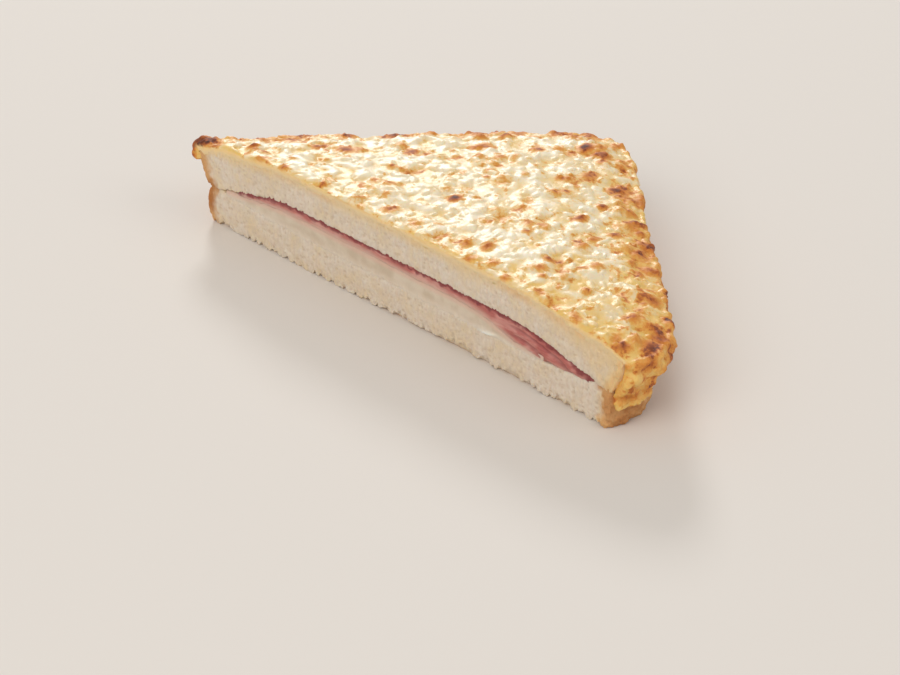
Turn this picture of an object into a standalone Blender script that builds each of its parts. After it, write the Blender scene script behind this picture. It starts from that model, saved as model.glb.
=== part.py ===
"""Half of a croque monsieur, cut across from corner to corner.

The whole sandwich is modelled first, square and centred on its own middle: two slices of pan bread,
a melted cheese layer, ham, and a lid of melted grated cheese that runs down over the crusts. One box
then cuts every layer along the same slanted plane, and the half that is kept is turned so that the
cut face looks along -Y.
"""

import math

import bmesh
import bpy
from mathutils import Vector, noise

# Driving sizes, in metres
SLICE_SIDE = 0.120
CORNER_RADIUS = 0.014
LAYER_GAP = 0.00035

# Thicknesses in the middle of the sandwich, where it is pressed, and at its crusts
BOTTOM_SLICE_MIDDLE = 0.0088
BOTTOM_SLICE_RIM = 0.0104
FILLING_MIDDLE = 0.0073
TOP_SLICE_MIDDLE = 0.0083
TOP_SLICE_RIM = 0.0108
RIM_CLOSING = 0.0009

# The crusts' outline, bottom to top: drawn in at the foot and at the seam, flared at the top
CRUST_FOOT = 0.0014
CRUST_FOOT_HEIGHT = 0.0045
CRUST_WAIST = 0.0010
CRUST_WAIST_REACH = 0.0040
CRUST_FLARE = 0.0022
CRUST_FLARE_TOP = 0.0200
CRUST_ROUNDING = 0.0024

# The sharp end, seen from the middle, where the ham stops early and the lid hardly runs down
SHARP_END_BEARING = math.radians(133)
SHARP_END_SPREAD = math.radians(38)

# The filling: how far it stops short of the crusts, and how thick each part of it is
FILLING_INSET = 0.0045
FILLING_RADIUS = 0.016
HAM_FLAT = 0.0026
HAM_FOLDED = 0.0064
HAM_FOLD_FROM = 0.026
HAM_FOLD_TO = 0.046
HAM_SHORT_END = 0.08
CHEESE_END = 0.042
THINNEST_CHEESE = 0.0005

# The cheese lid
LID_THICKNESS = 0.0027
LID_THINNEST = 0.25
LID_LUMP_LENGTH = 0.0085
LID_SIDE_GAP = 0.0007
LID_DROP = 0.0125
LID_DROP_UNEVEN = 0.0035
LID_SHORT_DROP = 0.0030

# The knife's cut: how far it misses the middle of the slice, and how far it slants off the diagonal
CUT_OFFSET = 0.0027
CUT_SLANT = math.radians(3.7)
CUT_TURN = math.pi / 4 + CUT_SLANT
KNIFE_SIZE = 0.300

# How finely each layer is divided, from its middle outwards and up its sides
SLICE_RINGS = 15
FILLING_RINGS = 11
LID_SIDE_RINGS = 4
SIDE_CELLS = 4

COLOURS = {
    "bread": ((0.80, 0.68, 0.50), 0.85),
    "cheese": ((0.86, 0.74, 0.50), 0.45),
    "ham": ((0.62, 0.22, 0.18), 0.40),
    "gratin": ((0.86, 0.58, 0.22), 0.40),
}


def smooth_step(value, low, high):
    """0 below low, 1 above high, and an S curve between them."""
    share = min(1.0, max(0.0, (value - low) / (high - low)))
    return share * share * (3.0 - 2.0 * share)


def round_the_corners(u, v, corner):
    """Moves a point of a square's rings, -1 to 1 each way, onto rings with round corners."""
    ring = max(abs(u), abs(v))
    if ring == 0.0:
        return 0.0, 0.0
    far, near = 1.0, min(abs(u), abs(v)) / ring
    straight = 1.0 - corner
    if near > straight:
        angle = (near - straight) / corner * math.pi / 4
        far = straight + corner * math.cos(angle)
        near = straight + corner * math.sin(angle)
    across, along = (far, near) if abs(u) >= abs(v) else (near, far)
    return math.copysign(ring * across, u), math.copysign(ring * along, v)


def slice_ring(x, y):
    """0 at the middle of the slice and 1 on its outline."""
    half = SLICE_SIDE / 2
    u, v = abs(x) / half, abs(y) / half
    straight = 1.0 - CORNER_RADIUS / half
    ring = max(u, v)
    if ring > 0.0 and min(u, v) > straight * ring:
        # In the corners the ring through the point is an arc about (straight, straight) * ring.
        a = 2.0 * straight**2 - (1.0 - straight) ** 2
        b = straight * (u + v)
        ring = (b - math.sqrt(max(0.0, b * b - a * (u * u + v * v)))) / a
    return ring


def along_cut(x, y):
    """How far a point lies along the knife's line, from the middle of the slice."""
    return x * math.cos(CUT_TURN) - y * math.sin(CUT_TURN)


def bottom_slice_top(x, y):
    rim = smooth_step(slice_ring(x, y), 0.55, 1.0)
    return BOTTOM_SLICE_MIDDLE + (BOTTOM_SLICE_RIM - BOTTOM_SLICE_MIDDLE) * rim


def filling_height(x, y):
    """Ham and cheese together: nothing at the crusts, where the two slices close up."""
    return FILLING_MIDDLE * (1.0 - smooth_step(slice_ring(x, y), 0.55, 0.99))


def ham_height(x, y):
    """The ham lies flat over the cheese, and towards one corner it is folded and fills the gap."""
    fold = smooth_step(along_cut(x, y), HAM_FOLD_FROM, HAM_FOLD_TO)
    share = (HAM_FLAT + (HAM_FOLDED - HAM_FLAT) * fold) / FILLING_MIDDLE
    return share * filling_height(x, y)


def cheese_under(x, y):
    return bottom_slice_top(x, y) + LAYER_GAP


def cheese_top(x, y):
    height = filling_height(x, y) - ham_height(x, y)
    return cheese_under(x, y) + THINNEST_CHEESE + height


def ham_under(x, y):
    return cheese_top(x, y) + LAYER_GAP


def ham_top(x, y):
    return ham_under(x, y) + ham_height(x, y)


def top_slice_under(x, y):
    """Rests on the ham, and closes up with the bottom slice beyond the filling."""
    return ham_top(x, y) + LAYER_GAP - RIM_CLOSING * smooth_step(slice_ring(x, y), 0.94, 1.0)


def top_slice_top(x, y):
    """Thicker towards the crusts, and rounded over at its edge."""
    ring = slice_ring(x, y)
    thickness = TOP_SLICE_MIDDLE + (TOP_SLICE_RIM - TOP_SLICE_MIDDLE) * smooth_step(ring, 0.60, 1.0)
    return ham_top(x, y) + LAYER_GAP + thickness - CRUST_ROUNDING * smooth_step(ring, 0.91, 1.04)


def crust_offset(height):
    """How far the crusts stand out from the slice's nominal outline at a height."""
    foot = CRUST_FOOT * max(0.0, 1.0 - height / CRUST_FOOT_HEIGHT) ** 2
    from_seam = abs(height - BOTTOM_SLICE_RIM) / CRUST_WAIST_REACH
    waist = CRUST_WAIST * (1.0 - smooth_step(from_seam, 0.0, 1.0))
    flare = CRUST_FLARE * smooth_step(height, BOTTOM_SLICE_RIM, CRUST_FLARE_TOP)
    return flare - foot - waist


def material(name):
    colour, roughness = COLOURS[name]
    made = bpy.data.materials.new(name)
    made.use_nodes = True
    shader = made.node_tree.nodes["Principled BSDF"]
    shader.inputs["Base Color"].default_value = (*colour, 1.0)
    shader.inputs["Roughness"].default_value = roughness
    shader.inputs["Metallic"].default_value = 0.0
    return made


def move_to(collection, obj):
    for old in list(obj.users_collection):
        old.objects.unlink(obj)
    collection.objects.link(obj)


def divided_cube(cells):
    """A 2 m cube whose top and bottom are cut into cells, and whose sides into SIDE_CELLS."""
    bpy.ops.mesh.primitive_cube_add(size=2.0)
    obj = bpy.context.object
    mesh = bmesh.new()
    mesh.from_mesh(obj.data)
    for upright, cuts in ((False, cells - 1), (True, SIDE_CELLS - 1)):
        edges = [e for e in mesh.edges if (abs(e.verts[0].co.z - e.verts[1].co.z) > 1.0) == upright]
        bmesh.ops.subdivide_edges(mesh, edges=edges, cuts=cuts, use_grid_fill=True)
    mesh.to_mesh(obj.data)
    mesh.free()
    return obj


def layer(name, rings, half, radius, under, over, outline=None, offset=None):
    """A flat layer between two height functions. Its outline can vary round it or up its sides."""
    obj = divided_cube(2 * rings)
    obj.name = name
    for vert in obj.data.vertices:
        share = (vert.co.z + 1.0) / 2
        on_side = max(abs(vert.co.x), abs(vert.co.y)) > 0.999
        u, v = round_the_corners(vert.co.x, vert.co.y, radius / half)
        reach = half * outline(math.atan2(v, u)) if outline else half
        low, high = under(u * reach, v * reach), over(u * reach, v * reach)
        if on_side and offset:
            reach += offset(low + (high - low) * share)
            low, high = under(u * reach, v * reach), over(u * reach, v * reach)
        vert.co = Vector((u * reach, v * reach, low + (high - low) * share))
    obj.data.shade_smooth()
    obj.data.set_sharp_from_angle(angle=math.radians(40))
    return obj


def near_sharp_end(angle):
    return 1.0 - smooth_step(abs(angle - SHARP_END_BEARING), 0.0, SHARP_END_SPREAD)


def ham_outline(angle):
    """A slice of ham has a slack, wavy edge."""
    waves = 0.010 * math.sin(5 * angle + 0.4) + 0.006 * math.sin(11 * angle + 1.9)
    return 1.0 + waves - HAM_SHORT_END * near_sharp_end(angle)


def cheese_outline(angle):
    """Melted cheese runs out unevenly, and it stops short where the ham is folded."""
    reach = 1.0 + 0.012 * math.sin(4 * angle + 2.2)
    towards_fold = math.cos(angle + CUT_TURN)
    if towards_fold > 0.0:
        reach = min(reach, CHEESE_END / (SLICE_SIDE / 2 - FILLING_INSET) / towards_fold)
    return reach


def build_bottom_slice():
    return layer(
        "bottom_slice", SLICE_RINGS, SLICE_SIDE / 2, CORNER_RADIUS, lambda x, y: 0.0, bottom_slice_top,
        offset=crust_offset,
    )


def build_cheese():
    half = SLICE_SIDE / 2 - FILLING_INSET
    return layer(
        "melted_cheese", FILLING_RINGS, half, FILLING_RADIUS, cheese_under, cheese_top,
        outline=cheese_outline,
    )


def build_ham():
    half = SLICE_SIDE / 2 - FILLING_INSET
    return layer("ham", FILLING_RINGS, half, FILLING_RADIUS, ham_under, ham_top, outline=ham_outline)


def build_top_slice():
    return layer(
        "top_slice", SLICE_RINGS, SLICE_SIDE / 2, CORNER_RADIUS, top_slice_under, top_slice_top,
        offset=crust_offset,
    )


def lid_drop(angle):
    """How far the melted cheese has run down the crust in each direction."""
    wander = noise.noise(Vector((2.2 * math.cos(angle), 2.2 * math.sin(angle), 4.0)))
    full = LID_DROP + LID_DROP_UNEVEN * 2.0 * wander
    return full + (LID_SHORT_DROP - full) * near_sharp_end(angle)


def draped(u, v, rings):
    """Where a point of the flat grid lies, just clear of the top slice and of the crusts' sides.

    The rings over the slice are spaced as the slice's own are, so that their facets are parallel.
    """
    half = SLICE_SIDE / 2
    ring = round(max(abs(u), abs(v)) * rings)
    if ring == 0:
        return Vector((0.0, 0.0, top_slice_top(0.0, 0.0) + LAYER_GAP))
    across, along = round_the_corners(u * rings / ring, v * rings / ring, CORNER_RADIUS / half)
    if ring < SLICE_RINGS:
        reach = half * ring / SLICE_RINGS
        height = top_slice_top(across * reach, along * reach) + LAYER_GAP
    else:
        edge = half + crust_offset(top_slice_top(across * half, along * half))
        down = (ring - SLICE_RINGS) / LID_SIDE_RINGS * lid_drop(math.atan2(along, across))
        height = top_slice_top(across * edge, along * edge) + LAYER_GAP - down
        reach = half + crust_offset(height) + LID_SIDE_GAP
    return Vector((across * reach, along * reach, height))


def lid_weight(place, ring):
    """The share of the full thickness at a point: lumpy on top, fuller at the rim, thin below."""
    lump = noise.noise(place / LID_LUMP_LENGTH) + 0.5 * noise.noise(2.1 * place / LID_LUMP_LENGTH)
    rim = SLICE_RINGS / (SLICE_RINGS + LID_SIDE_RINGS)
    fuller = 0.18 * smooth_step(ring, rim - 0.15, rim)
    thinner = 0.35 * smooth_step(ring, rim, 1.0)
    return min(1.0, max(0.0, 0.42 + 0.42 * lump + fuller - thinner))


def build_lid():
    """The gratin: a grid draped over the top slice and down its crusts, thickened outwards."""
    rings = SLICE_RINGS + LID_SIDE_RINGS
    bpy.ops.mesh.primitive_grid_add(x_subdivisions=2 * rings, y_subdivisions=2 * rings, size=2.0)
    obj = bpy.context.object
    obj.name = "cheese_gratin"
    thick = obj.vertex_groups.new(name="thickness")
    for vert in obj.data.vertices:
        u, v = vert.co.x, vert.co.y
        vert.co = draped(u, v, rings)
        thick.add([vert.index], lid_weight(vert.co, max(abs(u), abs(v))), "REPLACE")
    solidify = obj.modifiers.new("thickness", "SOLIDIFY")
    solidify.thickness = LID_THICKNESS
    solidify.offset = 1.0
    solidify.vertex_group = thick.name
    solidify.thickness_vertex_group = LID_THINNEST
    obj.data.shade_smooth()
    return obj


def build_knife(parent, collection):
    """The box that takes the other half away, its face along the cut."""
    bpy.ops.mesh.primitive_cube_add(size=KNIFE_SIZE)
    knife = bpy.context.object
    knife.name = "knife"
    knife.location = (0.0, -KNIFE_SIZE / 2 - CUT_OFFSET, 0.0)
    knife.hide_render = True
    knife.display_type = "WIRE"
    knife.parent = parent
    move_to(collection, knife)
    return knife


def cut_with(obj, knife):
    cut = obj.modifiers.new("cut", "BOOLEAN")
    cut.operation = "DIFFERENCE"
    cut.object = knife


def centre_above_origin(parent, parts):
    """Moves everything so that the origin is under the middle of the part, on the table."""
    bpy.context.view_layer.update()
    graph = bpy.context.evaluated_depsgraph_get()
    corners = []
    for obj in parts:
        evaluated = obj.evaluated_get(graph)
        corners += [evaluated.matrix_world @ vert.co for vert in evaluated.data.vertices]
    for axis in (0, 1):
        values = [corner[axis] for corner in corners]
        parent.location[axis] -= (min(values) + max(values)) / 2
    parent.location[2] -= min(corner[2] for corner in corners)


def main():
    for obj in list(bpy.data.objects):
        bpy.data.objects.remove(obj)
    scene = bpy.context.scene.collection
    sandwich = bpy.data.collections.new("croque_monsieur")
    cutters = bpy.data.collections.new("cutters")
    scene.children.link(sandwich)
    scene.children.link(cutters)

    place = bpy.data.objects.new("place", None)
    turn = bpy.data.objects.new("turn", None)
    turn.parent = place
    turn.rotation_euler.z = CUT_TURN
    for empty in (place, turn):
        sandwich.objects.link(empty)

    knife = build_knife(place, cutters)
    parts = [
        (build_bottom_slice(), "bread"),
        (build_cheese(), "cheese"),
        (build_ham(), "ham"),
        (build_top_slice(), "bread"),
        (build_lid(), "gratin"),
    ]
    finishes = {name: material(name) for name in COLOURS}
    for obj, finish in parts:
        obj.parent = turn
        obj.data.materials.append(finishes[finish])
        move_to(sandwich, obj)
        cut_with(obj, knife)
    centre_above_origin(place, [obj for obj, _ in parts])


main()
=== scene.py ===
import math
import random
from types import SimpleNamespace

import bmesh
import bpy
import numpy as np
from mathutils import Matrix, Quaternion, Vector
from mathutils.bvhtree import BVHTree
from mathutils.kdtree import KDTree


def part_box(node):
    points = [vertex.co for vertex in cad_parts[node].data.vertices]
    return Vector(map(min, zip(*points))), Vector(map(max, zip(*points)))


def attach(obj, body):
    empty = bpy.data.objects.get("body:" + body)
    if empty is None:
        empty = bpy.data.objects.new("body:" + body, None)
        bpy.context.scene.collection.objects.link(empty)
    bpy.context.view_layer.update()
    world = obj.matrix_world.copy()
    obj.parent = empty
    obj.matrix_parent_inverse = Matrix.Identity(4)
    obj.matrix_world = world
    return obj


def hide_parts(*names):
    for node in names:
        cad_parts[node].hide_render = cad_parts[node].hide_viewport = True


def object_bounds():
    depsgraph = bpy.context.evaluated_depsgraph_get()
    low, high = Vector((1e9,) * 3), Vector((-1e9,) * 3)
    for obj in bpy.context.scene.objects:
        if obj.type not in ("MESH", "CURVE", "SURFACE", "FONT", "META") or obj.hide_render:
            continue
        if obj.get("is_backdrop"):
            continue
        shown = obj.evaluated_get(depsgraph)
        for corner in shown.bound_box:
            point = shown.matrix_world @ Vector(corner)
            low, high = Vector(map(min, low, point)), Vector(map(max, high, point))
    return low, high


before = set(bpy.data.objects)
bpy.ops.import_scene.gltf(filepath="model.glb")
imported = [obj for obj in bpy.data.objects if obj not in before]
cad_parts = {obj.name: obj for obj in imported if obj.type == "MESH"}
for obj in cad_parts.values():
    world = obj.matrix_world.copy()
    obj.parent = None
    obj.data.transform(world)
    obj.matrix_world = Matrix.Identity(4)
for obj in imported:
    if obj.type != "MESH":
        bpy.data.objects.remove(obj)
cadLow, cadHigh = (np.array(corner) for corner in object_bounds())
mm = 0.001
cutPlane = cadLow[1]      # the cut face looks along -Y from here

cameraLook = {
    "azimuth": 45.5,      # degrees round from the front, towards the right
    "elevation": 30.1,
    "roll": -0.66,
    "distance": 737 * mm,
    "aim": (16.2 * mm, -40.4 * mm, 0.0),
    "lens": 112.0,
}

# Each light: azimuth and elevation in degrees, distance and width in m, power in W, colour
lightLook = {
    "window": (232, 25, 2.0, 0.44, 17.0, (0.97, 0.985, 1.0)),
    "front": (12, 42, 2.0, 1.60, 14.5, (1.0, 0.965, 0.92)),
    "side": (110, 40, 2.0, 1.20, 5.0, (1.0, 0.98, 0.95)),
}
roomLook = {"colour": (1.0, 0.985, 0.965), "strength": 0.46}
floorLook = {"size": 12.0, "colour": (0.815, 0.765, 0.71), "roughness": 0.9}


def bearing(azimuth, elevation):
    # the direction from the object to something seen from this side
    a, e = math.radians(azimuth), math.radians(elevation)
    return Vector((math.sin(a) * math.cos(e), -math.cos(a) * math.cos(e), math.sin(e)))


def addCamera():
    back = bearing(cameraLook["azimuth"], cameraLook["elevation"])
    camera = bpy.data.objects.new("camera", bpy.data.cameras.new("camera"))
    camera.data.lens = cameraLook["lens"]
    camera.location = Vector(cameraLook["aim"]) + back * cameraLook["distance"]
    level = (-back).to_track_quat("-Z", "Y")
    camera.rotation_mode = "QUATERNION"
    camera.rotation_quaternion = level @ Quaternion((0, 0, 1), math.radians(-cameraLook["roll"]))
    bpy.context.scene.collection.objects.link(camera)
    bpy.context.scene.camera = camera


def addLights():
    for name, (azimuth, elevation, distance, width, power, colour) in lightLook.items():
        lamp = bpy.data.lights.new(name, "AREA")
        lamp.shape = "DISK"
        lamp.size = width
        lamp.energy = power
        lamp.color = colour
        obj = bpy.data.objects.new(name, lamp)
        back = bearing(azimuth, elevation)
        obj.location = back * distance
        obj.rotation_mode = "QUATERNION"
        obj.rotation_quaternion = (-back).to_track_quat("-Z", "Y")
        bpy.context.scene.collection.objects.link(obj)


def addRoom():
    room = bpy.data.worlds.new("room")
    room.use_nodes = True
    room.node_tree.nodes["Background"].inputs["Color"].default_value = (*roomLook["colour"], 1.0)
    room.node_tree.nodes["Background"].inputs["Strength"].default_value = roomLook["strength"]
    bpy.context.scene.world = room
    bpy.context.scene.view_settings.view_transform = "Standard"


def addFloor():
    bpy.ops.mesh.primitive_plane_add(size=floorLook["size"])
    floor = bpy.context.object
    floor.name = "floor"
    shader = startFinish("paleFloor")
    shader.inputs["Base Color"].default_value = (*floorLook["colour"], 1.0)
    shader.inputs["Roughness"].default_value = floorLook["roughness"]
    floor.data.materials.append(bpy.data.materials["paleFloor"])
    floor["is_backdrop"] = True


# Mesh work: points as arrays, and paint that the materials read

def pointsOf(obj):
    flat = np.empty(len(obj.data.vertices) * 3, dtype=np.float32)
    obj.data.vertices.foreach_get("co", flat)
    return flat.reshape(-1, 3).astype(np.float64)


def normalsOf(obj):
    flat = np.empty(len(obj.data.vertices) * 3, dtype=np.float32)
    obj.data.vertex_normals.foreach_get("vector", flat)
    return flat.reshape(-1, 3).astype(np.float64)


def movePoints(obj, points):
    obj.data.vertices.foreach_set("co", points.astype(np.float32).ravel())
    obj.data.update()


def paint(obj, name, values):
    # stores a value from 0 to 1 at each point
    layer = obj.data.attributes.get(name) or obj.data.attributes.new(name, "FLOAT", "POINT")
    layer.data.foreach_set("value", np.clip(values, 0.0, 1.0).astype(np.float32))


def soften(obj, values, rounds):
    # blends each point's value with its neighbours'
    ends = np.empty(len(obj.data.edges) * 2, dtype=np.int32)
    obj.data.edges.foreach_get("vertices", ends)
    one, other = ends.reshape(-1, 2).T
    count = len(values)
    neighbours = np.bincount(one, minlength=count) + np.bincount(other, minlength=count)
    for _ in range(rounds):
        total = np.bincount(one, values[other], count) + np.bincount(other, values[one], count)
        values = 0.5 * values + 0.5 * total / np.maximum(neighbours, 1)
    return values


def settle(obj):
    # applies the modifiers to the mesh
    graph = bpy.context.evaluated_depsgraph_get()
    mesh = bpy.data.meshes.new_from_object(obj.evaluated_get(graph))
    obj.modifiers.clear()
    obj.data = mesh


def fineCopy(node, name, look):
    # an evenly and finely meshed copy of a frame node, its edges a little softened
    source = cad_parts[node]
    obj = bpy.data.objects.new(name, source.data.copy())
    obj.data.transform(source.matrix_world)
    obj.data.materials.clear()
    bpy.context.scene.collection.objects.link(obj)
    remesh = obj.modifiers.new("remesh", "REMESH")
    remesh.mode = "VOXEL"
    remesh.voxel_size = look["voxel"]
    smooth = obj.modifiers.new("smooth", "SMOOTH")
    smooth.iterations = look["smoothing"]
    settle(obj)
    return obj


def thinOut(obj, spare, share):
    # leaves about this share of the faces whose points are all spare; a remeshed copy has only
    # four-cornered faces
    corners = np.empty(len(obj.data.loops), dtype=np.int32)
    obj.data.loops.foreach_get("vertex_index", corners)
    spareFaces = spare[corners.reshape(-1, 4)].all(axis=1).sum()
    group = obj.vertex_groups.new(name="spare")
    group.add(np.flatnonzero(spare).tolist(), 1.0, "REPLACE")
    thin = obj.modifiers.new("thin", "DECIMATE")
    thin.vertex_group = group.name
    thin.ratio = 1.0 - (1.0 - share) * spareFaces / len(obj.data.polygons)
    settle(obj)
    obj.vertex_groups.clear()


def dropSpecks(obj):
    # remeshing a thin sheet can leave loose specks: only the largest piece stays
    shape = bmesh.new()
    shape.from_mesh(obj.data)
    unseen, largest = set(shape.verts), []
    while unseen:
        island = [unseen.pop()]
        for vert in island:
            for edge in vert.link_edges:
                other = edge.other_vert(vert)
                if other in unseen:
                    unseen.discard(other)
                    island.append(other)
        if len(island) > len(largest):
            largest = island
    kept = set(largest)
    loose = [vert for vert in shape.verts if vert not in kept]
    bmesh.ops.delete(shape, geom=loose, context="VERTS")
    shape.to_mesh(obj.data)
    shape.free()


def facesWhere(node, wanted):
    # a search tree of a frame node's faces whose normal and centre pass the test
    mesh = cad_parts[node].data
    faces = [tuple(face.vertices) for face in mesh.polygons if wanted(face.normal, face.center)]
    return BVHTree.FromPolygons([v.co for v in mesh.vertices], faces)


def wayTo(tree, points, most):
    # the way from each point to the tree's nearest face, or straight down where none is near enough
    found = np.tile((0.0, 0.0, -most), (len(points), 1))
    for index, point in enumerate(points):
        hit = tree.find_nearest(point, most)
        if hit[0] is not None:
            found[index] = hit[0] - Vector(point)
    return found


def distanceTo(tree, points, most):
    return np.linalg.norm(wayTo(tree, points, most), axis=1)


def step(values, low, high):
    # rises smoothly from 0 at the low value to 1 at the high one
    share = np.clip((values - low) / (high - low), 0.0, 1.0)
    return share * share * (3.0 - 2.0 * share)


def nearPlane(y, depth):
    # 1 at the cut face, and 0 from this far behind it
    return 1.0 - step(y, cutPlane + 0.3 * mm, cutPlane + depth)


def scramble(cells, seed):
    # a repeatable random number from 0 to 1 for each whole-number cell, mixed with large odd numbers
    x, y, z = cells.T
    code = x * 73856093 ^ y * 19349663 ^ z * 83492791 ^ seed * 2654435761
    for shift, odd in ((13, 1274126177), (15, 668265263)):
        code = (code ^ (code >> shift)) * odd & 0xFFFFFFFF
    return ((code ^ (code >> 16)) & 0xFFFF) / 65535.0


def ripple(points, size, seed=0):
    # a smooth random value, -1 to 1, that changes over about this size, which may differ by axis;
    # every seed gives another pattern
    place = points / np.asarray(size) + 31.7 * (seed + 1)
    cell = np.floor(place).astype(np.int64)
    part = place - cell
    part = part * part * (3.0 - 2.0 * part)
    total = np.zeros(len(points))
    for corner in range(8):
        shift = np.array([corner & 1, corner >> 1 & 1, corner >> 2])
        weight = np.where(shift, part, 1.0 - part).prod(axis=1)
        total += weight * scramble(cell + shift, seed)
    return 2.0 * total - 1.0


def grain(points, size, seed=0, octaves=3):
    # ripples of several sizes together, -1 to 1
    total, weight = np.zeros(len(points)), 0.0
    for octave in range(octaves):
        total += ripple(points, np.asarray(size) / 2**octave, seed + 7 * octave) / 2**octave
        weight += 0.5**octave
    return total / weight


def pores(points, size, seed=0):
    # 1 at the middle of each random hole and 0 between holes, which vary in size
    place = points / np.asarray(size) + 11.3 * (seed + 1)
    cell = np.floor(place).astype(np.int64)
    deepest = np.zeros(len(points))
    for number in range(27):
        near = cell + np.array([number % 3, number // 3 % 3, number // 9]) - 1
        middle = near + np.stack([scramble(near, seed + k) for k in (1, 2, 3)], axis=1)
        radius = 0.25 + 0.45 * scramble(near, seed + 4) ** 2
        away = np.linalg.norm(place - middle, axis=1) / radius
        deepest = np.maximum(deepest, 1.0 - away**2)
    return np.maximum(deepest, 0.0)


# Material work: short ways to wire nodes, all in the shader's own tree

def rgb(red, green, blue):
    # a colour given as 0 to 255, as the shader's linear values
    return tuple(((c / 255 + 0.055) / 1.055) ** 2.4 for c in (red, green, blue))


def startFinish(name):
    finish = bpy.data.materials.new(name)
    finish.use_nodes = True
    return finish.node_tree.nodes["Principled BSDF"]


def addNode(tree, kind, **values):
    node = tree.nodes.new(kind)
    for key, value in values.items():
        setattr(node, key, value)
    return node


def feed(tree, socket, value):
    # links another node's result, or sets a plain number or colour
    if isinstance(value, bpy.types.NodeSocket):
        tree.links.new(value, socket)
    elif isinstance(value, tuple) and socket.type == "RGBA":
        socket.default_value = (*value, 1.0)
    else:
        socket.default_value = value


def painted(tree, name):
    # what the mesh was painted with under this name
    return addNode(tree, "ShaderNodeAttribute", attribute_name=name).outputs["Fac"]


def speckle(tree, size, detail=3.0, roughness=0.55, stretch=(1.0, 1.0, 1.0)):
    # noise with spots of about this size, squeezed where the stretch is more than 1
    place = addNode(tree, "ShaderNodeTexCoord").outputs["Object"]
    mapping = addNode(tree, "ShaderNodeMapping")
    mapping.inputs["Scale"].default_value = stretch
    tree.links.new(place, mapping.inputs["Vector"])
    node = addNode(tree, "ShaderNodeTexNoise")
    node.inputs["Scale"].default_value = 1.0 / size
    node.inputs["Detail"].default_value = detail
    node.inputs["Roughness"].default_value = roughness
    tree.links.new(mapping.outputs["Vector"], node.inputs["Vector"])
    return node.outputs["Fac"]


def together(tree, a, b, how="ADD"):
    # two values added, or worked out another way, and kept from 0 to 1
    node = addNode(tree, "ShaderNodeMath", operation=how, use_clamp=True)
    feed(tree, node.inputs[0], a)
    feed(tree, node.inputs[1], b)
    return node.outputs[0]


def span(tree, value, low, high, to=(0.0, 1.0)):
    # carries the values from low to high smoothly over to another range
    node = addNode(tree, "ShaderNodeMapRange", interpolation_type="SMOOTHSTEP")
    feed(tree, node.inputs["Value"], value)
    for key, number in zip(("From Min", "From Max", "To Min", "To Max"), (low, high, *to)):
        node.inputs[key].default_value = number
    return node.outputs["Result"]


def mixed(tree, a, b, share):
    node = addNode(tree, "ShaderNodeMix", data_type="RGBA")
    feed(tree, node.inputs[0], share)
    feed(tree, node.inputs[6], a)
    feed(tree, node.inputs[7], b)
    return node.outputs[2]


def shades(tree, value, stops):
    node = addNode(tree, "ShaderNodeValToRGB")
    feed(tree, node.inputs["Fac"], value)
    points = node.color_ramp.elements
    while len(points) < len(stops):
        points.new(0.5)
    for point, (at, colour) in zip(points, stops):
        point.position = at
        point.color = (*colour, 1.0)
    return node.outputs["Color"]


def bumped(tree, height, depth, under=None):
    node = addNode(tree, "ShaderNodeBump")
    node.inputs["Distance"].default_value = depth
    feed(tree, node.inputs["Height"], height)
    if under is not None:
        tree.links.new(under, node.inputs["Normal"])
    return node.outputs["Normal"]


def setShader(shader, **values):
    names = {
        "colour": "Base Color", "relief": "Normal", "roughness": "Roughness", "gloss": "Specular IOR Level",
        "glow": "Subsurface Weight", "glowReach": "Subsurface Scale", "glowColour": "Subsurface Radius",
    }
    for key, value in values.items():
        feed(shader.id_data, shader.inputs[names[key]], value)


# Bread: two slices whose torn crumb shows on the cut

breadLook = {
    "voxel": 0.28 * mm,
    "smoothing": 3,              # rounds of softening of the frame's sharp edges
    "keptDepth": 2.0 * mm,       # how far in from the cut the mesh stays fine
    "keptSide": 1.2 * mm,        # and how far in from the crust
    "hiddenShare": 0.04,         # how much of the hidden mesh is kept
    "closing": 0.50 * mm,        # the slices are pressed together by this where they meet
    "pinch": 0.55 * mm,          # and by this much more near the crusts
    "pinchReach": (4.0 * mm, 8.0 * mm),
    "roughness": 0.28 * mm,      # unevenness of the torn crumb
    "roughSize": 2.2 * mm,
    "fibre": 0.20 * mm,
    "fibreSize": (0.6 * mm, 1.2 * mm, 1.9 * mm),
    "poreSize": 1.1 * mm,
    "poreDepth": 0.22 * mm,
    "teeth": 1.9 * mm,           # how ragged the lower edge of the cut is
    "upperTeeth": 0.4 * mm,      # and the upper slice's edge over the ham
    "arch": 0.9 * mm,            # how far the knife has lifted the lower edge in the middle
    "archPlace": (14 * mm, 22 * mm),     # its middle and half-width along the cut
    "crustWidth": 2.7 * mm,
    "crustGrain": 0.28 * mm,
    "seamLength": 5.5 * mm,      # how far in from the crust the seam of the two slices shows
    "soakDepth": 3.8 * mm,       # how far down the cut the cheese has soaked in
    "soakedEnd": (48 * mm, 68 * mm),     # where along the cut it has run down over the crust too
    "soakedGrain": 2.4,          # how much rougher the crust is there
    "lumps": 1.5 * mm,           # how far the lumps on the soaked crust stand out
    "crumb": rgb(237, 223, 205),
    "crumbShade": rgb(226, 207, 186),
    "crumbWarm": rgb(236, 216, 184),
    # painted shade: the colour the crumb's holes are darkened towards
    "paintedPoreShade": rgb(206, 182, 152),
    "soaked": rgb(244, 210, 150),
    "drip": rgb(234, 162, 84),
    "crustLight": rgb(226, 176, 120),
    "crustDark": rgb(182, 118, 66),
}


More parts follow.
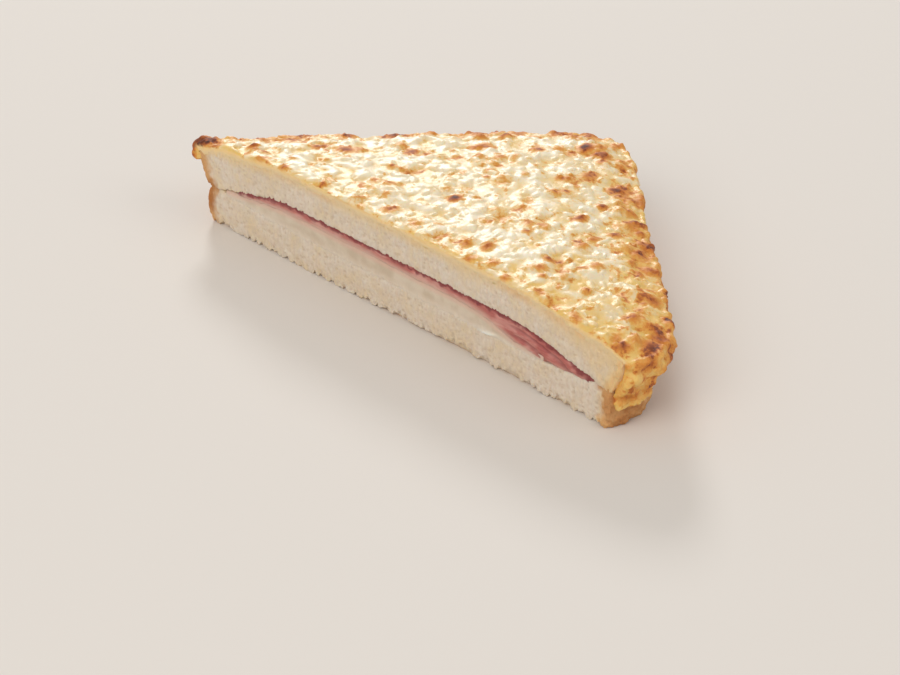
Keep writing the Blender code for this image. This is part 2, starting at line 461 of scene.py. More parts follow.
def crumbRelief(points, look):
    # how far the torn crumb lies back from the knife, and how deep in a hole each point is
    size = look["poreSize"]
    holes = np.maximum(pores(points, (size * 1.4, size, size), 21), 0.8 * pores(points, size * 0.6, 22))
    fibres = ripple(points, look["fibreSize"], 25)
    soft = grain(points, look["roughSize"], 31, 4)
    return look["poreDepth"] * holes**0.8 + look["fibre"] * fibres - look["roughness"] * soft, holes


def breadFinish(look):
    shader = startFinish("toastBread")
    tree = shader.id_data
    mottle = speckle(tree, 1.5 * mm, 4.0, 0.6, (1.3, 1.0, 0.7))
    fine = speckle(tree, 0.42 * mm, 3.0, 0.6, (1.8, 1.0, 0.55))
    cloud = speckle(tree, 7.0 * mm, 3.0, 0.6)
    crumb = mixed(tree, look["crumb"], look["crumbWarm"], span(tree, cloud, 0.4, 0.65))
    crumb = mixed(tree, crumb, look["crumbShade"], span(tree, mottle, 0.35, 0.75))
    # painted shade in the crumb's holes, darker where they are deeper
    crumb = mixed(tree, crumb, look["paintedPoreShade"], span(tree, painted(tree, "hole"), 0.35, 1.0, (0.0, 0.5)))
    crumb = mixed(tree, crumb, look["soaked"], painted(tree, "soak"))
    crumb = mixed(tree, crumb, look["drip"], painted(tree, "drip"))
    patches = speckle(tree, 8.0 * mm, 4.0, 0.5)
    toast = mixed(tree, look["crustLight"], look["crustDark"], span(tree, patches, 0.30, 0.75))
    toast = mixed(tree, toast, look["crustLight"], span(tree, mottle, 0.45, 0.75, (0.0, 0.35)))
    toast = mixed(tree, toast, look["crustDark"], span(tree, fine, 0.50, 0.75, (0.0, 0.55)))
    setShader(
        shader,
        colour=mixed(tree, crumb, toast, painted(tree, "crust")),
        roughness=span(tree, fine, 0.2, 0.8, (0.78, 0.95)),
        gloss=0.25, glow=0.25, glowColour=(1.0, 0.72, 0.45), glowReach=1.6 * mm,
        relief=bumped(tree, fine, 0.26 * mm, bumped(tree, mottle, 0.2 * mm)),
    )


def placesOnSlice(points, sides, box, isTop):
    # how far each point is from the crust, and how much it belongs, 0 to 1, to the cut, the sides,
    # the crust's colour, the seam and the soaked end
    look = breadLook
    low, high = box
    x, y, z = points.T
    near = distanceTo(sides, points, 2 * look["seamLength"])
    onCut = nearPlane(y, 1.6 * mm)
    onSide = (1.0 - step(near, 0.25 * mm, 0.9 * mm)) * (1.0 - onCut)
    uneven = 1.0 + 0.4 * ripple(points, 2.4 * mm, 3) + 0.3 * ripple(points, 1.0 * mm, 4)
    width = look["crustWidth"] * uneven
    crust = 1.0 - step(near, 0.35 * width, 1.5 * width)
    fromSeam = z - low[2] if isTop else high[2] - z
    reach = look["seamLength"] * (0.85 + 0.3 * ripple(points, 1.5 * mm, 5))
    seam = (1.0 - step(near, 0.6 * reach, reach)) * (1.0 - step(fromSeam, 0.35 * mm, 1.1 * mm))
    crust = np.maximum(crust, 0.9 * seam)
    soaked = step(x, *look["soakedEnd"]) * onCut
    return SimpleNamespace(
        near=near, low=low[2], onCut=onCut, onSide=onSide, crust=crust, seam=seam, soaked=soaked)


def shapeSlice(points, normals, at, isTop):
    # tears the cut, presses the slice against the other one and roughens its crust
    look = breadLook
    x, _, z = points.T
    lumps = at.soaked * (1.0 - step(at.near, 1.6 * mm, 4.0 * mm))
    lumps *= 0.3 + 1.4 * grain(points, 2.2 * mm, 55, 3)
    relief, holes = crumbRelief(points, look)
    back = relief * (1.0 - 0.3 * at.crust) + 0.5 * mm * at.seam
    points[:, 1] += at.onCut * back - look["lumps"] * lumps

    # The upper slice swells both ways, the lower one only upwards, so that it still stands flat.
    swelling = isTop or normals[:, 2] > 0.0
    points[:, 2] += look["closing"] * normals[:, 2] * swelling
    towards = np.sqrt(np.maximum(-normals[:, 2] if isTop else normals[:, 2], 0.0))
    pinch = look["pinch"] * towards * (1.0 - step(at.near, *look["pinchReach"]))
    points[:, 2] += -pinch if isTop else pinch

    # The knife tears the cut's edges, the lower one most of all.
    along = points * (1.0, 0.3, 0.3)
    jag = grain(along, 2.6 * mm, 41, 3) + 0.7 * grain(along, 1.1 * mm, 43, 2)
    if isTop:
        points[:, 2] += look["upperTeeth"] * jag * at.onCut * (1.0 - step(z, at.low, at.low + 6.5 * mm))
    else:
        foot = (1.0 - step(z, 0.0, 3.0 * mm)) * at.onCut
        middle, spread = look["archPlace"]
        arch = look["arch"] * np.exp(-(((x - middle) / spread) ** 2))
        points[:, 2] += foot * (look["teeth"] * np.clip(0.32 + 1.4 * jag, 0.0, 1.0) + arch)

    rough = grain(points, 1.5 * mm, 51, 3) + 0.8 * ripple(points, 4.0 * mm, 52)
    rough *= 1.0 + look["soakedGrain"] * step(x, *look["soakedEnd"])
    points += normals * (look["crustGrain"] * rough * at.onSide)[:, None]
    points[:, 2] = np.maximum(points[:, 2], 0.0)
    return holes


def colourSlice(obj, points, holes, topFace, at, isTop):
    # paints the holes, which the finish darkens as painted shade, where cheese has soaked in or run down, and
    # the toasted crust
    look = breadLook
    x, _, z = points.T
    inward = (6.0 if isTop else 4.0) * mm * (1.0 + 0.4 * ripple(points, 3 * mm, 65))
    if isTop:
        below = distanceTo(topFace, points, 9 * mm)
        deep = look["soakDepth"] * (1.0 + 0.5 * ripple(points * (1.0, 0.2, 0.2), 9 * mm, 61))
        deep *= 1.0 + 2.2 * step(x, 45 * mm, 75 * mm)
        sideways = at.soaked * (1.0 - step(at.near, 0.1 * inward, inward))
        soak = np.maximum((1.0 - step(below, -0.4 * deep, deep)) * 0.85, 0.8 * sideways)
        spots = pores(points * (1.0, 0.0, 0.0), 12 * mm, 63)
        edge = at.soaked * (1.0 - step(at.near, 0.3 * mm, 2.8 * mm))
        edge *= 0.5 + 0.6 * ripple(points, 2 * mm, 67)
        drip = np.maximum(spots * (1.0 - step(below, 0.2 * mm, 2.6 * mm)) * 0.3, 0.35 * edge)
        crust = at.crust * (1.0 - at.soaked)
    else:
        soak = 0.8 * at.soaked * (1.0 - step(at.near, 0.3 * inward, inward))
        drip = np.zeros(len(points))
        under = (1.0 - step(z, 0.0, 0.9 * mm)) * (1.0 - at.onCut)
        crust = np.maximum(at.crust, under * (0.55 + 0.3 * ripple(points, 9 * mm, 71)))
    # the holes on the cut, which the finish darkens as painted shade
    paint(obj, "hole", holes * at.onCut)
    paint(obj, "soak", soak)
    paint(obj, "drip", drip)
    paint(obj, "crust", crust)


def makeSlice(node, name, isTop):
    look = breadLook
    obj = fineCopy(node, name, look)
    sides = facesWhere(node, lambda n, c: abs(n.z) < 0.88 and c.y > cutPlane + 0.1 * mm)
    points = pointsOf(obj)
    near = distanceTo(sides, points, look["seamLength"])
    shown = (points[:, 1] < cutPlane + look["keptDepth"]) | (near < look["keptSide"])
    thinOut(obj, ~shown, look["hiddenShare"])

    points, normals = pointsOf(obj), normalsOf(obj)
    at = placesOnSlice(points, sides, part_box(node), isTop)
    holes = shapeSlice(points, normals, at, isTop)
    movePoints(obj, points)
    colourSlice(obj, points, holes, facesWhere(node, lambda n, c: n.z > 0.6), at, isTop)
    obj.data.shade_smooth()
    return obj


# The filling: a ham slice folded double at one end, over melted cheese

hamLook = {
    "voxel": 0.30 * mm,
    "smoothing": 3,
    "keptDepth": 1.8 * mm,       # how far in from the cut the mesh stays fine
    "hiddenShare": 0.10,         # how much of the mesh further in is kept
    "closing": 0.50 * mm,        # pressed against the bread by this
    "sunk": 0.10 * mm,           # how far the cut edge lies behind the bread's
    "fibreSize": (5.0 * mm, 1.2 * mm, 0.45 * mm),
    "fibre": 0.28 * mm,
    "tear": 1.0 * mm,            # how ragged its upper edge is
    "fold": (36 * mm, 46 * mm),  # where along the cut it starts to lie double
    "sheet": 2.3 * mm,           # how thick each layer of the fold is
    "groove": 0.4 * mm,          # and how deep the groove between them
    "sink": (44 * mm, 54 * mm, 0.9 * mm),    # where its end starts to sink onto the bread, and how far
    "rind": 0.95 * mm,           # how wide the dark band along its upper edge is, painted for its darker rim and for the shade under the bread
    "fadePlace": (-62 * mm, -30 * mm),       # where its underside starts to fade into the cheese
    "flesh": rgb(190, 106, 98),
    "fat": rgb(212, 148, 138),
    # dark red for the fibres, the painted band along the upper edge and the painted shade in the grooves
    "darkAndGrooveShade": rgb(130, 50, 52),
    "fade": rgb(221, 186, 168),  # where it runs into the cheese
}


def hamFinish(look):
    shader = startFinish("cookedHam")
    tree = shader.id_data
    fibre = speckle(tree, 1.2 * mm, 4.0, 0.6, (0.35, 1.0, 2.2))
    marbling = speckle(tree, 3.2 * mm, 3.0, 0.5, (0.5, 1.0, 1.6))
    flesh = mixed(tree, look["flesh"], look["fat"], span(tree, marbling, 0.48, 0.68))
    flesh = mixed(tree, flesh, look["darkAndGrooveShade"], span(tree, fibre, 0.52, 0.8, (0.0, 0.4)))
    flesh = mixed(tree, flesh, look["fade"], painted(tree, "pale"))
    setShader(
        shader,
        # the painted dark band along the upper edge and the painted shade in the grooves
        colour=mixed(tree, flesh, look["darkAndGrooveShade"], painted(tree, "darkAndGrooveShade")),
        roughness=span(tree, fibre, 0.3, 0.7, (0.30, 0.52)),
        glow=0.35, glowColour=(1.0, 0.35, 0.25), glowReach=1.6 * mm,
        relief=bumped(tree, fibre, 0.2 * mm),
    )


def fillingCopy(node, name, look):
    # a copy of a filling layer that is finely meshed only where it shows, and pressed against the bread
    obj = fineCopy(node, name, look)
    thinOut(obj, pointsOf(obj)[:, 1] > cutPlane + look["keptDepth"], look["hiddenShare"])
    dropSpecks(obj)
    points, normals = pointsOf(obj), normalsOf(obj)
    points[:, 2] += look["closing"] * normals[:, 2]
    movePoints(obj, points)
    obj.data.shade_smooth()
    return obj


def makeHam():
    look = hamLook
    obj = fillingCopy("ham", "hamSlice", look)
    points = pointsOf(obj)
    x, y, _ = points.T
    below = distanceTo(facesWhere("ham", lambda n, c: n.z > 0.5), points, 8 * mm)
    above = distanceTo(facesWhere("ham", lambda n, c: n.z < -0.5), points, 8 * mm)
    onCut = nearPlane(y, 1.5 * mm)
    folded = step(x, *look["fold"])
    # Where the ham lies double, its sheets show as grooves along the cut.
    waved = below + 0.4 * mm * ripple(points, 9 * mm, 83)
    sheets = 0.5 - 0.5 * np.cos(2 * math.pi * waved / look["sheet"])
    groove = folded * (1.0 - step(sheets, 0.05, 0.5))
    fibre = grain(points, look["fibreSize"], 81, 3)
    points[:, 1] += onCut * (look["sunk"] - look["fibre"] * fibre + look["groove"] * groove)
    tear = look["tear"] * grain(points * (1.0, 0.2, 0.0), 1.3 * mm, 85, 2)
    points[:, 2] += onCut * tear * (1.0 - step(below, 0.2 * mm, 1.6 * mm))
    rind = look["rind"] * (1.0 + 1.2 * grain(points, 1.5 * mm, 87, 2))
    # Painted shade: a dark band along the upper edge, partly its darker rim, and darker grooves between the
    # sheets.
    paint(obj, "darkAndGrooveShade", np.maximum(0.9 * (1.0 - step(below, 0.3 * rind, rind)), groove * 0.45))
    faded = (1.0 - folded) * step(x, *look["fadePlace"])
    fade = (0.9 + 1.2 * faded) * mm * (1.0 + 0.3 * ripple(points, 4 * mm, 89))
    paint(obj, "pale", (1.0 - step(above, -0.2 * fade, fade)) * (1.0 - 0.5 * folded))
    # Past the end of the cheese the ham sinks straight onto the bread.
    start, end, sink = look["sink"]
    points[:, 2] -= sink * step(x, start, end) * (1.0 - step(above, 0.3 * mm, 1.5 * mm))
    movePoints(obj, points)
    return obj


cheeseLook = {
    "voxel": 0.30 * mm,
    "smoothing": 3,
    "keptDepth": 1.8 * mm,
    "hiddenShare": 0.04,
    "closing": 0.45 * mm,
    "bulge": 0.22 * mm,
    "sunk": 0.15 * mm,           # how far its cut edge lies back
    "drip": (33 * mm, 3.0 * mm, 0.8 * mm),   # place along the cut, half-width and how far it stands out
    "dripLine": (9.6 * mm, 0.17, 0.45 * mm),     # its height, its slope and half its thickness
    "colour": rgb(223, 207, 186),
    "shade": rgb(208, 189, 165),
    "pink": rgb(222, 184, 164),
    "bready": rgb(232, 216, 196),
    # painted highlight: near white on the bead of the drip
    "paintedGlint": rgb(255, 252, 240),
}


def cheeseFinish(look):
    shader = startFinish("meltedCheese")
    tree = shader.id_data
    cloud = speckle(tree, 5.0 * mm, 3.0, 0.5)
    fine = speckle(tree, 0.8 * mm, 3.0, 0.6)
    colour = mixed(tree, look["colour"], look["shade"], span(tree, cloud, 0.35, 0.7))
    colour = mixed(tree, colour, look["bready"], painted(tree, "bready"))
    # the painted highlight on the drip's bead, which is also less rough
    colour = mixed(tree, colour, look["paintedGlint"], painted(tree, "paintedGlint"))
    setShader(
        shader,
        colour=mixed(tree, colour, look["pink"], painted(tree, "pink")),
        roughness=together(tree, span(tree, cloud, 0.3, 0.7, (0.42, 0.60)),
                           span(tree, painted(tree, "paintedGlint"), 0.1, 0.8, (0.0, 0.30)), "SUBTRACT"),
        glow=0.35, glowColour=(1.0, 0.8, 0.55), glowReach=2.0 * mm,
        relief=bumped(tree, fine, 0.10 * mm),
    )


def makeCheese():
    look = cheeseLook
    obj = fillingCopy("melted_cheese", "cheeseLayer", look)
    points = pointsOf(obj)
    x, y, z = points.T
    onCut = nearPlane(y, 1.6 * mm)
    swell = look["bulge"] * grain(points, (7 * mm, 3 * mm, 3 * mm), 91, 2)
    place, width, out = look["drip"]
    height, slope, thin = look["dripLine"]
    drip = out * np.exp(-(((x - place) / width) ** 2))
    under = distanceTo(facesWhere("melted_cheese", lambda n, c: n.z < -0.5), points, 6 * mm)
    over = distanceTo(facesWhere("melted_cheese", lambda n, c: n.z > 0.5), points, 6 * mm)
    bead = drip * np.exp(-(((z - height - slope * (x - place)) / thin) ** 2))
    points[:, 1] -= onCut * (swell - look["sunk"] + bead)
    relief, _ = crumbRelief(points, breadLook)
    bready = 1.0 - step(under, 0.0, 2.4 * mm * (1.0 + 0.5 * ripple(points, 3 * mm, 93)))
    points[:, 1] += onCut * relief * bready
    movePoints(obj, points)
    paint(obj, "bready", bready * (1.0 - bead / out))
    # painted highlight: the bead is coloured near white
    paint(obj, "paintedGlint", bead / out)
    paint(obj, "pink", 0.8 * (1.0 - step(over, 0.0, 1.6 * mm)))
    return obj


# The gratin: grated cheese melted over the top and down the sides, browned under the grill

gratinLook = {
    "seed": 7,                       # another number lays the strands and blisters another way
    "voxel": 0.42 * mm,
    "smoothing": 6,
    "hiddenShare": 0.06,
    "sink": 0.55 * mm,               # the base goes down by this, and the melted strands stand on it
    "strands": 400,
    "strandLength": (4 * mm, 12 * mm),
    "strandWidth": (1.1 * mm, 2.4 * mm),
    "strandHeight": (0.40 * mm, 0.95 * mm),
    "strandStride": 0.55 * mm,
    "strandWobble": 0.25,            # how much a strand turns at each stride
    "strandBlend": 2.4,              # a higher number keeps crossing strands from piling up
    "melting": 12,                   # rounds of softening
    "swell": (8.0 * mm, 0.42 * mm),  # size and height of the slow waves
    "wrinkle": (4.6 * mm, 0.22 * mm),
    "bubbles": (3.2 * mm, 0.50 * mm),
    "sideLumps": (3.5 * mm, 0.30 * mm),
    "rimReach": (1.5 * mm, 11 * mm),     # how far in from the crust the browning is strongest, and ends
    "blisterTries": 2400,            # places tried for a small blister; few are used, most near the crust
    "blisterWidth": (0.8 * mm, 2.5 * mm),
    "blisterHeight": 0.42 * mm,
    "pools": 60,                     # hollows where the fat has gathered
    "poolWidth": (1.6 * mm, 3.0 * mm),
    "poolDepth": 0.28 * mm,
    "poolBrown": (0.26, 0.40),
    "rolledEdge": (2.4 * mm, 0.9 * mm),  # how far in and down the knife has pressed the edge
    "cutReach": 1.1 * mm,            # how far it reaches into the crumb along the cut
    "fringe": (2.4 * mm, 0.9 * mm, 0.22 * mm),   # drips along the cut: size, how far down and how far out
    "highest": 0.8 * mm,             # how far above the frame's part anything may stand
    "cream": rgb(251, 236, 206),
    "yellow": rgb(243, 202, 116),
    "browning": [
        (0.00, rgb(246, 214, 138)),
        (0.22, rgb(238, 184, 92)),
        (0.42, rgb(222, 144, 58)),
        (0.62, rgb(186, 102, 42)),
        (0.80, rgb(134, 66, 30)),
        (1.00, rgb(78, 36, 24)),
    ],
    "soaked": rgb(247, 210, 146),
    "crumb": rgb(236, 214, 178),
}
# The blisters that catch the eye: along the cut, back from it, half-width, and how brown, lengths in mm
bigBlisters = [
    (-82, 1, 3.6, 0.86), (-80, 3, 3.2, 0.78), (-76, 1, 2.4, 0.55), (-66, 6, 2.0, 0.8), (-61, 6, 1.8, 0.5),
    (-56, 1, 2.2, 0.42), (-47, 1, 2.0, 0.45), (-54, 20, 2.8, 0.75), (-46, 23, 2.6, 0.75),
    (-33, 36, 2.8, 0.7), (-32, 2, 1.6, 0.62), (-22, 52, 3.2, 0.8), (-20, 15, 2.2, 0.5), (-27, 23, 1.8, 0.45),
    (-9, 5, 2.8, 0.48), (-2, 22, 2.6, 0.95), (-5, 37, 1.4, 0.7), (27, 40, 2.4, 0.75), (25, 51, 2.0, 0.7),
    (38, 42, 2.2, 0.68), (24, 9, 2.2, 0.6), (25, 1, 2.8, 0.45), (38, 1, 2.2, 0.42), (14, 20, 1.4, 0.6),
    (39, 16, 1.8, 0.7), (25, 22, 1.6, 0.6), (62, 2, 2.0, 0.45), (55, 13, 2.2, 0.5), (77, 3, 2.6, 0.62),
    (81, 9, 2.6, 0.68), (71, 13, 2.4, 0.6), (-3, 74, 3.0, 0.85), (3, 74, 2.8, 0.7), (10, 62, 2.8, 0.6),
    (19, 63, 2.4, 0.8), (9, 54, 2.6, 0.45), (14, 48, 2.8, 0.42), (-10, 62, 2.6, 0.6), (-16, 45, 2.4, 0.45),
    (36, 30, 2.4, 0.42), (48, 24, 2.6, 0.45),
]


def gratinFinish(look):
    shader = startFinish("gratinCheese")
    tree = shader.id_data
    small = speckle(tree, 0.9 * mm, 4.0, 0.6)
    cloud = speckle(tree, 4.5 * mm, 3.0, 0.55)
    tiny = speckle(tree, 0.4 * mm, 3.0, 0.6)
    golden = together(tree, painted(tree, "gold"), span(tree, cloud, 0.38, 0.72, (0.0, 0.5)))
    melted = mixed(tree, look["cream"], look["yellow"], golden)
    tone = together(tree, painted(tree, "brown"), span(tree, small, 0.3, 0.75, (0.0, 0.14)))
    tone = together(tree, tone, 0.05, "SUBTRACT")
    toasted = span(tree, speckle(tree, 3.0 * mm, 4.0, 0.6), 0.50, 0.70, (0.0, 0.40))
    tone = together(tree, tone, together(tree, toasted, together(tree, golden, 0.3), "MULTIPLY"))
    colour = mixed(tree, melted, shades(tree, tone, look["browning"]), span(tree, tone, 0.04, 0.30))
    cutEdge = mixed(tree, look["soaked"], look["crumb"], painted(tree, "deep"))
    setShader(
        shader,
        colour=mixed(tree, colour, cutEdge, painted(tree, "melt")),
        roughness=together(tree, span(tree, painted(tree, "melt"), 0.0, 0.8, (0.40, 0.75)),
                           span(tree, tone, 0.12, 0.6, (0.0, 0.28))),
        glow=0.22, glowColour=(1.0, 0.7, 0.35), glowReach=1.2 * mm,
        relief=bumped(tree, small, 0.10 * mm, bumped(tree, tiny, 0.04 * mm)),
    )


def bothSlices():
    # a search tree of the two slices' faces
    corners, faces = [], []
    for node in ("top_slice", "bottom_slice"):
        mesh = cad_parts[node].data
        faces += [tuple(v + len(corners) for v in face.vertices) for face in mesh.polygons]
        corners += [vert.co for vert in mesh.vertices]
    return BVHTree.FromPolygons(corners, faces)


def outerSide(obj, bread):
    # true at each point of the lid that looks away from the bread
    points, normals = pointsOf(obj), normalsOf(obj)
    away = np.empty(len(points), dtype=bool)
    for index, (point, normal) in enumerate(zip(points, normals)):
        hit, _, _, _ = bread.find_nearest(point)
        away[index] = (point - np.array(hit)) @ normal > 0.0
    return away


def layStrand(tree, place, normal, heading, length, pick):
    # walks over the surface from a point and returns the points passed
    walked, stride = [], gratinLook["strandStride"]
    for _ in range(max(3, int(length / stride))):
        heading = (heading - normal * heading.dot(normal)).normalized()
        heading.rotate(Quaternion(normal, pick.gauss(0.0, gratinLook["strandWobble"])))
        place, normal, _, _ = tree.find_nearest(place + heading * stride)
        walked.append(place)
    return walked


def stampStrands(points, outer, finder, tree, pick):
    # how high the strands stand at each point; where they cross they pile up
    look = gratinLook
    piled = np.zeros(len(points))
    for _ in range(look["strands"]):
        start = Vector(points[outer[pick.randrange(len(outer))]])
        place, normal, _, _ = tree.find_nearest(start)
        heading = Vector((pick.gauss(0, 1), pick.gauss(0, 1), pick.gauss(0, 1)))
        walked = layStrand(tree, place, normal, heading, pick.uniform(*look["strandLength"]), pick)
        width, height = pick.uniform(*look["strandWidth"]), pick.uniform(*look["strandHeight"])
        best = {}
        for number, spot in enumerate(walked):
            end = min(1.0, min(number + 1, len(walked) - number) / 4)
            reach = width * (0.55 + 0.45 * end)
            for _, index, away in finder.find_range(spot, reach):
                rise = height * end**0.5 * math.sqrt(1.0 - (away / reach) ** 2)
                if rise > best.get(index, 0.0):
                    best[index] = rise
        for index, rise in best.items():
            piled[outer[index]] += rise ** look["strandBlend"]
    return piled ** (1 / look["strandBlend"])


def stampSpots(points, outer, finder, spots):
    # the height and the browning that blisters and pools add at each point
    haloEnd, coreEnd, farthest = 1.5, 0.95, 1.9     # in half-widths of the spot
    uneven = 1.0 + 0.42 * grain(points, 1.5 * mm, 111, 3)
    rise, brown = np.zeros(len(points)), np.zeros(len(points))
    for place, width, height, strength, along, stretch in spots:
        for spot, number, away in finder.find_range(place, farthest * width * stretch):
            index = outer[number]
            lengthwise = (spot - place).dot(along)
            across = max(0.0, away * away - lengthwise * lengthwise)
            share = math.sqrt(across + (lengthwise / stretch) ** 2) * uneven[index] / width
            dome = max(0.0, 1.0 - share**2) ** 0.8
            if abs(height * dome) > abs(rise[index]):
                rise[index] = height * dome
            halo = max(0.0, 1.0 - share / haloEnd)
            core = max(0.0, 1.0 - share / coreEnd)
            tone = strength * (0.70 * halo**0.6 + 0.40 * core)
            brown[index] = max(brown[index], tone)
    return rise, brown


def chooseSpots(points, outer, tree, at, pick):
    # the small blisters, the pools of fat and the big blisters
    look = gratinLook
    spots = []

    def addSpot(place, width, height, strength):
        along = Vector((pick.gauss(0, 1), pick.gauss(0, 1), 0.3 * pick.gauss(0, 1))).normalized()
        spots.append((place, width, height, strength, along, pick.uniform(1.0, 1.7)))

    narrow, wide = look["blisterWidth"]
    for _ in range(look["blisterTries"]):
        index = outer[pick.randrange(len(outer))]
        rim, side = at.rim[index], at.side[index]
        wanted = 0.05 + 0.18 * rim**1.5 + 0.08 * side
        if pick.random() < wanted:
            width = narrow + (wide - narrow) * pick.random() ** 1.6
            strength = min(1.0, pick.uniform(0.20, 0.50) + 0.5 * rim * pick.random() ** 3)
            strength *= 1.0 - 0.45 * side
            height = look["blisterHeight"] * (0.5 + width / wide) * (1.0 + 0.5 * side)
            addSpot(Vector(points[index]), width * (1.0 + 0.3 * rim), height, strength)
    for _ in range(look["pools"]):
        index = outer[pick.randrange(len(outer))]
        width, strength = pick.uniform(*look["poolWidth"]), pick.uniform(*look["poolBrown"])
        addSpot(Vector(points[index]), width, -look["poolDepth"], strength)
    for along, back, width, strength in bigBlisters:
        above = Vector((along * mm, cutPlane + back * mm, cadHigh[2] + 5 * mm))
        hit, _, _, _ = tree.ray_cast(above, Vector((0, 0, -1)))
        if hit:
            addSpot(hit, 0.8 * width * mm, look["blisterHeight"] * (0.4 + 0.8 * strength), strength)
    return spots


def placesOnLid(points, normals, bread):
    # how near the crust each point is, how thick the lid is there, and whether it hangs down the side
    # or lies on the cut
    edge = facesWhere("top_slice", lambda n, c: abs(n.z) < 0.5 and c.y > cutPlane + 0.1 * mm)
    rim = 1.0 - step(distanceTo(edge, points, 16 * mm), *gratinLook["rimReach"])
    ways = wayTo(bread, points, 4 * mm)
    thick = np.linalg.norm(ways, axis=1)
    length = np.maximum(thick, 0.01 * mm)       # never zero, since it divides
    toBread = ways / length[:, None]
    side = step(np.hypot(ways[:, 0], ways[:, 1]) / length, 0.5, 0.85)
    fromCut = points[:, 1] - cutPlane
    cutFace = step(-normals[:, 1], 0.6, 0.9) * (1.0 - step(fromCut, 0.4 * mm, 1.2 * mm))
    return SimpleNamespace(rim=rim, thick=thick, toBread=toBread, side=side, fromCut=fromCut, cutFace=cutFace)


def liftLid(points, normals, strands, rise, away, at):
    # raises everything that stands on the lid, and returns the hollows that are left between, 0 to 1
    look = gratinLook
    waveSize, waveHeight = look["swell"]
    foldSize, foldHeight = look["wrinkle"]
    bubbleSize, bubbleHeight = look["bubbles"]
    lumpSize, lumpHeight = look["sideLumps"]
    waves = waveHeight * grain(points, waveSize, 121, 3)
    folds = foldHeight * (1.0 - 2.2 * np.abs(grain(points, foldSize, 123, 2)))
    stretched = points * (1.0 + 0.1 * ripple(points, 3 * mm, 127))[:, None]
    bubbles = bubbleHeight * pores(stretched, bubbleSize, 129) ** 0.7
    melted = 0.55 + 0.45 * step(grain(points, 14 * mm, 125, 2), -0.3, 0.3)
    lift = strands * melted + waves + folds + bubbles + rise - look["sink"]
    lift += lumpHeight * at.side * (1.0 + 1.5 * grain(points, lumpSize, 135, 2))
    lift *= 1.0 - (1.0 - at.side) * at.cutFace      # the knife has left the cut face flat
    points += normals * (lift * away)[:, None]
    return 1.0 - step(strands * melted + bubbles + 0.7 * folds, 0.05 * mm, 0.65 * mm)


def cutLid(points, at):
    # along the cut the lid reaches into the crumb, and its edge is rolled down and hangs in small drips
    look = gratinLook
    reaching = (1.0 - step(at.fromCut, 3.0 * mm, 6.0 * mm)) * (1.0 - step(at.thick, 0.4 * mm, 1.5 * mm))
    points += at.toBread * (look["cutReach"] * reaching)[:, None]
    inward, down = look["rolledEdge"]
    roll = 1.0 - np.sqrt(1.0 - np.clip(1.0 - at.fromCut / inward, 0.0, 1.0) ** 2)
    rolled = down * roll * (1.0 + 0.4 * ripple(points, 7 * mm, 131))
    points[:, 2] -= rolled * step(at.thick, 0.3 * mm, 2.4 * mm)
    relief, _ = crumbRelief(points, breadLook)
    points[:, 1] += at.cutFace * (1.0 - at.side) * relief
    size, drop, out = look["fringe"]
    drips = step(ripple(points * (1.0, 0.0, 0.0), size, 143), 0.0, 0.8)
    drips *= 1.0 - step(at.fromCut, 0.2 * mm, 1.6 * mm)
    drips *= 1.0 - at.side
    points[:, 2] -= drop * drips * (1.0 - step(at.thick, 0.3 * mm, 2.0 * mm))
    points[:, 1] -= out * drips
    points[:, 2] = np.minimum(points[:, 2], cadHigh[2] + look["highest"])


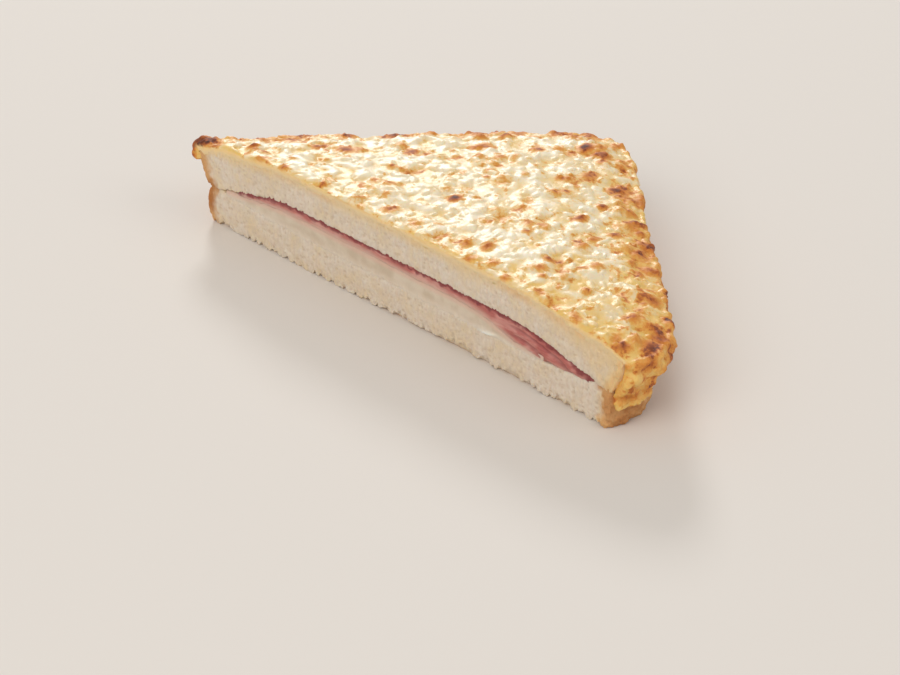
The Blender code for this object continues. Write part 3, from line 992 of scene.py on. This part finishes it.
def colourLid(obj, points, hollow, brown, at):
    # golden in the hollows, at both ends and near the cut; brown at the crust and on the blisters
    rightEnd = step(points[:, 0], 15 * mm, 70 * mm)
    leftEnd = step(-points[:, 0], 15 * mm, 65 * mm)
    band = (3.0 + 6.0 * rightEnd) * mm * (1.0 + 0.6 * ripple(points, 8 * mm, 133))
    nearCut = (1.0 - step(at.fromCut, 0.3 * band, band)) * (0.6 + 0.8 * ripple(points, 4 * mm, 137))
    gold = 0.6 * hollow + 0.5 * nearCut + 0.45 * rightEnd + 0.3 * leftEnd + 0.4 * at.rim + 0.15 * at.side
    base = 0.18 * at.rim**1.6 * (0.75 + 1.1 * ripple(points, 4.5 * mm, 141)) + 0.05 * at.side
    paint(obj, "gold", gold - 0.2)
    paint(obj, "brown", np.maximum(base, 0.0) + brown * (1.0 - 0.3 * base))
    paint(obj, "melt", at.cutFace * (1.0 - at.side))
    paint(obj, "deep", 1.0 - step(at.thick, 0.2 * mm, 1.8 * mm))


def makeGratin():
    look = gratinLook
    pick = random.Random(look["seed"])
    obj = fineCopy("cheese_gratin", "cheeseGratin", look)
    bread = bothSlices()
    thinOut(obj, ~outerSide(obj, bread), look["hiddenShare"])
    away = outerSide(obj, bread)
    points, normals = pointsOf(obj), normalsOf(obj)
    outer = np.flatnonzero(away).tolist()
    outside = set(outer)
    shell = [tuple(face.vertices) for face in obj.data.polygons if outside.issuperset(face.vertices)]
    tree = BVHTree.FromPolygons([Vector(p) for p in points], shell)
    finder = KDTree(len(outer))
    for number, index in enumerate(outer):
        finder.insert(points[index], number)
    finder.balance()
    strands = soften(obj, stampStrands(points, outer, finder, tree, pick), look["melting"])
    print("strands laid on", len(outer), "points")

    at = placesOnLid(points, normals, bread)
    spots = chooseSpots(points, outer, tree, at, pick)
    rise, brown = stampSpots(points, outer, finder, spots)
    rise = soften(obj, rise, 1)
    print("blisters and pools", len(spots))

    hollow = liftLid(points, normals, strands, rise, away, at)
    cutLid(points, at)
    movePoints(obj, points)
    colourLid(obj, points, hollow, brown, at)
    obj.data.shade_smooth()
    return obj


def present(obj, finish, node):
    obj.data.materials.append(bpy.data.materials[finish])
    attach(obj, "root")
    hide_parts(node)
    print(obj.name, len(obj.data.vertices), "points,", len(obj.data.polygons), "faces")


addCamera()
addLights()
addRoom()
addFloor()
print("camera, lights and floor set")
breadFinish(breadLook)
hamFinish(hamLook)
cheeseFinish(cheeseLook)
gratinFinish(gratinLook)
print("materials mixed")
present(makeSlice("bottom_slice", "bottomSlice", False), "toastBread", "bottom_slice")
present(makeSlice("top_slice", "topSlice", True), "toastBread", "top_slice")
present(makeHam(), "cookedHam", "ham")
present(makeCheese(), "meltedCheese", "melted_cheese")
present(makeGratin(), "gratinCheese", "cheese_gratin")
